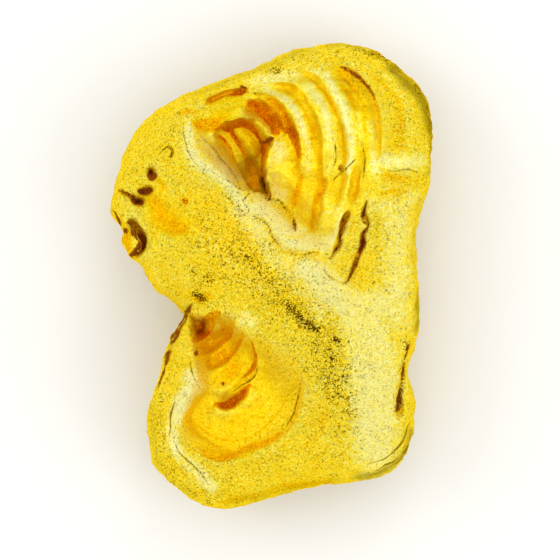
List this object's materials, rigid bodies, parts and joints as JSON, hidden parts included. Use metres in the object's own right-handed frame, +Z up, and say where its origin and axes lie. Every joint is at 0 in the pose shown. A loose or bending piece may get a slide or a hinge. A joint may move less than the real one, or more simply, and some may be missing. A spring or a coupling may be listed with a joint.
{
  "type": "gold nugget",
  "caption": "Water-worn lump of native gold with two stepped hollows, ledges and pits, lying on its back on a small flat worn patch.",
  "frame": {"origin": "on the surface it rests on, under the middle of its bounding box", "axes": "+Z up, out of the hollowed face; +Y along the nugget, towards the end with the fan of ledges; +X across it, towards the full straight side"},
  "size_m": [0.029, 0.042, 0.0153],
  "materials": {
    "native_gold": null
  },
  "bodies": {
    "root": {"gold_nugget": "native_gold"}
  },
  "joints": []
}
